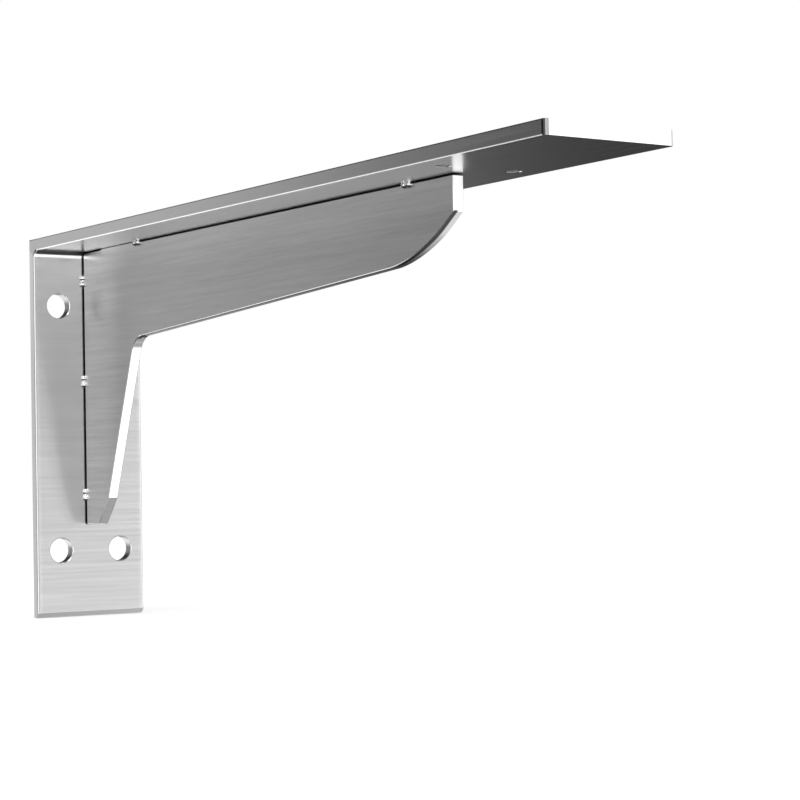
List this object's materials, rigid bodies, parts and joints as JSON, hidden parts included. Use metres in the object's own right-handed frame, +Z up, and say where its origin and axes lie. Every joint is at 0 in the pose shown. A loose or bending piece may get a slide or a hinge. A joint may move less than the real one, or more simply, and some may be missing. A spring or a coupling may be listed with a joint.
{
  "type": "triangular wall bracket",
  "caption": "L-shaped stainless flat-bar bracket for a shelf or worktop, with an upright tapered gusset tack welded in its inner corner.",
  "frame": {"origin": "centre of the four wall holes, on the back face of the leg that lies against the wall", "axes": "+Y into the wall, so the arm runs out along -Y; +Z up; +X across the bar's width, to the right for someone facing the wall"},
  "size_m": [0.0636, 0.4572, 0.205],
  "materials": {
    "brushed_bar": "brushed along the bar",
    "brushed_plate": "brushed along the plate",
    "weld_metal": "bright, as solidified"
  },
  "bodies": {
    "root": {"bent_bar": "brushed_bar", "gusset": "brushed_plate", "leg_tack_welds": "weld_metal", "arm_tack_welds": "weld_metal"}
  },
  "joints": []
}
